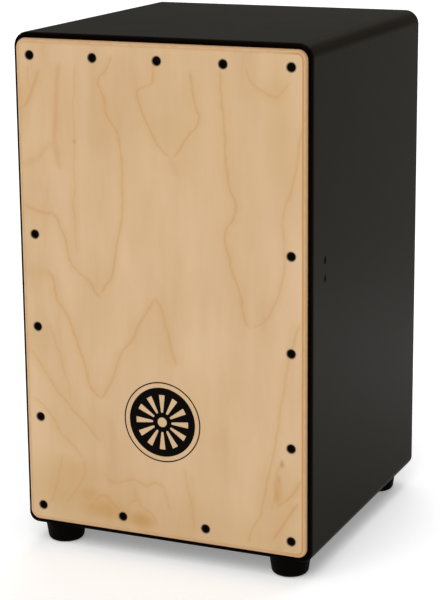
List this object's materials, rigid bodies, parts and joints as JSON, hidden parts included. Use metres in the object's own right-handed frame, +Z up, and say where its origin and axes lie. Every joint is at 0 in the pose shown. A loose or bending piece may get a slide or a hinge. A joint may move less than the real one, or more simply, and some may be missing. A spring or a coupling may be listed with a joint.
{
  "type": "cajon",
  "caption": "Box drum to sit on: rounded black wooden box, thin screwed-on plywood striking plate, round rear sound port, inner snare strands on a rail, tapered rubber feet.",
  "frame": {"origin": "on the floor, under the middle of the whole box drum", "axes": "+Z up; the struck plate faces -Y and the sound port +Y; +X is the player's left when seated and looking along -Y"},
  "size_m": [0.3, 0.3098, 0.506],
  "materials": {
    "black_lacquer": "satin black lacquer with a fine texture",
    "bare_softwood": "planed, unfinished",
    "clear_plywood": "clear satin lacquer over rotary-cut face veneer",
    "black_ink": "flat printed black",
    "zinc_sheet": "zinc plated",
    "snare_wire": "bright drawn wire",
    "foot_rubber": "moulded, matt",
    "black_screw": "black phosphate",
    "zinc_screw": "zinc plated"
  },
  "bodies": {
    "root": {"top_panel": "black_lacquer", "bottom_panel": "black_lacquer", "left_side_panel": "black_lacquer", "right_side_panel": "black_lacquer", "back_panel": "black_lacquer", "front_left_batten": "bare_softwood", "front_right_batten": "bare_softwood", "front_top_batten": "bare_softwood", "front_bottom_batten": "bare_softwood", "rear_left_batten": "bare_softwood", "rear_right_batten": "bare_softwood", "rear_top_batten": "bare_softwood", "rear_bottom_batten": "bare_softwood", "snare_rail": "bare_softwood", "front_plate": "clear_plywood", "front_decal": "black_ink", "left_snare_bracket": "zinc_sheet", "right_snare_bracket": "zinc_sheet", "left_snare_strands": "snare_wire", "right_snare_strands": "snare_wire", "front_left_foot": "foot_rubber", "front_right_foot": "foot_rubber", "rear_left_foot": "foot_rubber", "rear_right_foot": "foot_rubber", "foot_washers": "zinc_sheet", "front_plate_screws": "black_screw", "snare_rail_screws": "black_screw", "snare_bracket_screws": "zinc_screw", "foot_screws": "zinc_screw"}
  },
  "joints": []
}
